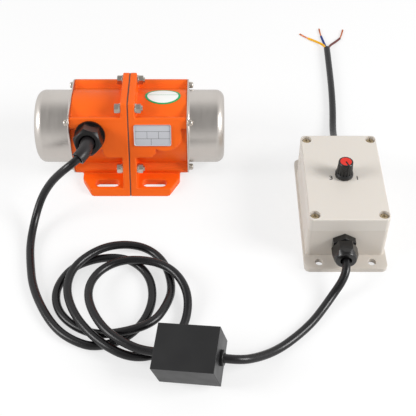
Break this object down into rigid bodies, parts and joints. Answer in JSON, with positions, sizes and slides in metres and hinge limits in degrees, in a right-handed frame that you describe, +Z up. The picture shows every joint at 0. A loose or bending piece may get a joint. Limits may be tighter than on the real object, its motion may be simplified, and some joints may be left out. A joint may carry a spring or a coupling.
{
  "type": "vibration motor",
  "caption": "Flanged vibration motor with slotted feet and drawn steel end covers, wired through a capacitor box to a knob speed controller.",
  "frame": {"origin": "centre of the motor's four foot slots, on its mounting plane", "axes": "+X along the shaft, +Y away from the side with the cable gland, +Z up out of the mounting plane"},
  "size_m": [0.3187, 0.4875, 0.085],
  "materials": {
    "orange_paint": "powder coat, slight orange peel",
    "gasket": "dark sealing gasket",
    "cover_steel": "drawn satin steel",
    "plated_steel": "nickel plated",
    "lamination_steel": "stacked laminations",
    "copper_wire": "enamelled copper",
    "bearing_steel": "ground",
    "spring_steel": "black oxide",
    "cast_aluminium": "cast",
    "weight_steel": "laser-cut plate",
    "plate_grey": "satin foil",
    "label_white": "gloss paper",
    "black_nylon": "moulded",
    "black_rubber": "soft",
    "cable_sheath": "smooth sheath",
    "black_plastic": "fine matt",
    "capacitor_film": "film capacitor",
    "white_plastic": "warm white, fine matt",
    "seal_rubber": "soft",
    "board_green": "solder mask",
    "terminal_green": "moulded",
    "knob_black": "moulded",
    "knob_red": "moulded",
    "yellow_insulation": "smooth",
    "blue_insulation": "smooth",
    "brown_insulation": "smooth",
    "bare_copper": "stranded"
  },
  "bodies": {
    "housing": {"left_housing": "orange_paint", "right_housing": "orange_paint", "housing_gasket": "gasket", "left_end_cover": "cover_steel", "right_end_cover": "cover_steel", "cover_screws": "plated_steel", "spring_washers": "plated_steel", "flange_bolts": "plated_steel", "flange_nuts": "plated_steel", "stator_core": "lamination_steel", "stator_windings": "copper_wire", "bearing_outer_rings": "bearing_steel", "bearing_circlips": "spring_steel", "nameplate": "plate_grey", "oval_label": "label_white", "motor_gland_body": "black_nylon", "motor_gland_nut": "black_nylon", "lead_sleeve": "black_rubber", "motor_lead": "cable_sheath", "lead_coil": "cable_sheath", "link_lead": "cable_sheath", "supply_lead": "cable_sheath", "capacitor_case": "black_plastic", "capacitor_cover": "black_plastic", "capacitor_block": "capacitor_film", "capacitor_grommets": "black_rubber", "controller_base": "white_plastic", "controller_lid": "white_plastic", "lid_seal": "seal_rubber", "lid_screws": "plated_steel", "circuit_board": "board_green", "terminal_block": "terminal_green", "heat_sink": "cast_aluminium", "potentiometer": "plated_steel", "potentiometer_nut": "plated_steel", "output_gland_body": "black_nylon", "output_gland_nut": "black_nylon", "output_gland_locknut": "black_nylon", "supply_bushing": "black_rubber", "yellow_core": "yellow_insulation", "blue_core": "blue_insulation", "brown_core": "brown_insulation", "copper_ends": "bare_copper"},
    "rotor": {"shaft": "bearing_steel", "shaft_keys": "bearing_steel", "shaft_circlips": "spring_steel", "rotor_core": "lamination_steel", "rotor_cage": "cast_aluminium", "weight_spacers": "bearing_steel", "fixed_weights": "weight_steel", "fixed_weight_bolts": "spring_steel", "bearing_inner_rings": "bearing_steel", "bearing_balls": "bearing_steel"},
    "left_weight": {"left_settable_weight": "weight_steel", "left_settable_bolt": "spring_steel"},
    "right_weight": {"right_settable_weight": "weight_steel", "right_settable_bolt": "spring_steel"},
    "knob": {"control_knob": "knob_black", "knob_cap": "knob_red", "potentiometer_spindle": "plated_steel"}
  },
  "joints": [
    {"name": "rotor_spin", "type": "hinge", "parent": "housing", "child": "rotor", "pos_m": [0, 0, 0.039], "axis": [1, 0, 0], "continuous": true},
    {"name": "left_weight_setting", "type": "hinge", "parent": "rotor", "child": "left_weight", "pos_m": [-0.073, 0, 0.039], "axis": [1, 0, 0], "range_deg": [0, 180]},
    {"name": "right_weight_setting", "type": "hinge", "parent": "rotor", "child": "right_weight", "pos_m": [0.073, 0, 0.039], "axis": [1, 0, 0], "range_deg": [0, 180]},
    {"name": "knob_turn", "type": "hinge", "parent": "housing", "child": "knob", "pos_m": [0.1928, -0.079, 0.05], "axis": [0, 0, 1], "range_deg": [0, 300]}
  ]
}
